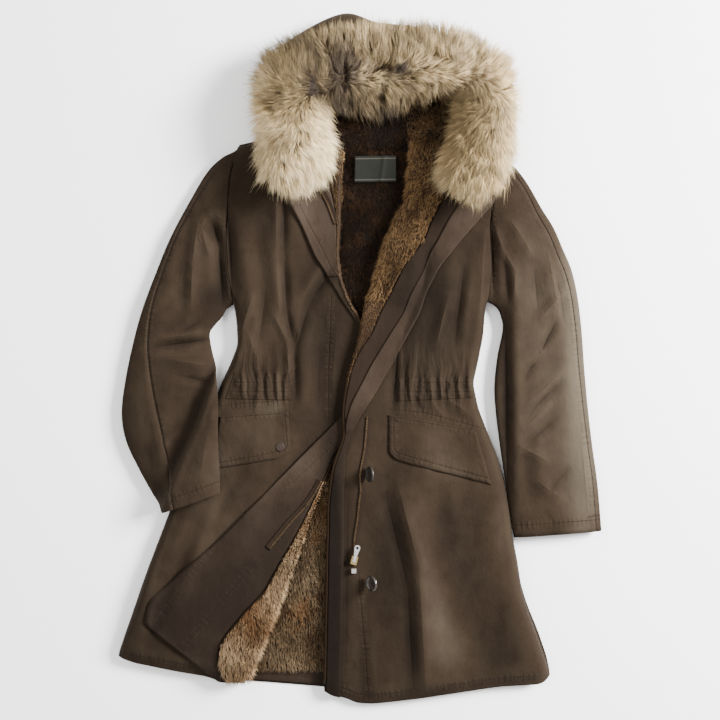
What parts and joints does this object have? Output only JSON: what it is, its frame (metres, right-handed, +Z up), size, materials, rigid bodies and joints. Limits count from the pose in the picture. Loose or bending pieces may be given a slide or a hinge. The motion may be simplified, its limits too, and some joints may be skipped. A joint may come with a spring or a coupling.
{
  "type": "fur trimmed parka",
  "caption": "Long twill parka with a fur ruff and fur lining, laid flat with its front turned open, to rest on a surface.",
  "frame": {"origin": "centre of the bounding box, on the surface that the coat lies on", "axes": "+Y from the hem to the hood, +X to the left of the wearer, +Z up from the surface"},
  "size_m": [0.8176, 1.1596, 0.1069],
  "materials": {
    "twill": "matt cotton twill",
    "facing": "matt cotton twill, inner side",
    "lining_fur": "short rabbit fur",
    "ruff_fur": "long soft fur",
    "label": "bare woven label",
    "horn": "polished dark horn",
    "brass": "worn brass",
    "nickel": "bright nickel",
    "tape": "woven zip tape and its coil"
  },
  "bodies": {
    "coat": {"back": "twill", "front_right": "twill", "front_left": "twill", "sleeve_right_top": "twill", "sleeve_right_under": "twill", "sleeve_left_top": "twill", "sleeve_left_under": "twill", "hood_shell": "twill", "pocket_flap_right": "twill", "pocket_flap_left": "twill", "waist_casing_right": "twill", "waist_casing_left": "twill", "hem_facing_back": "facing", "facing_right_upper": "facing", "facing_right_lower": "facing", "facing_left": "facing", "wind_flap_left": "facing", "lining_back": "lining_fur", "lining_front_right": "lining_fur", "lining_front_left": "lining_fur", "hood_lining": "lining_fur", "ruff_right_lobe": "ruff_fur", "ruff_crown": "ruff_fur", "ruff_left_lobe": "ruff_fur", "label": "label", "button_upper": "horn", "button_lower": "horn", "snap_right": "horn", "zip_slider": "brass", "zip_box": "nickel", "zip_tape_left": "tape", "zip_tape_right_upper": "tape", "zip_tape_right_lower": "tape"},
    "pull": {"zip_pull": "nickel"}
  },
  "joints": [
    {"name": "zip_pull_hinge", "type": "hinge", "parent": "coat", "child": "pull", "pos_m": [-0.00885, -0.3386, 0.02522], "axis": [0.9703, -0.2419, 0], "range_deg": [0, 150]}
  ]
}
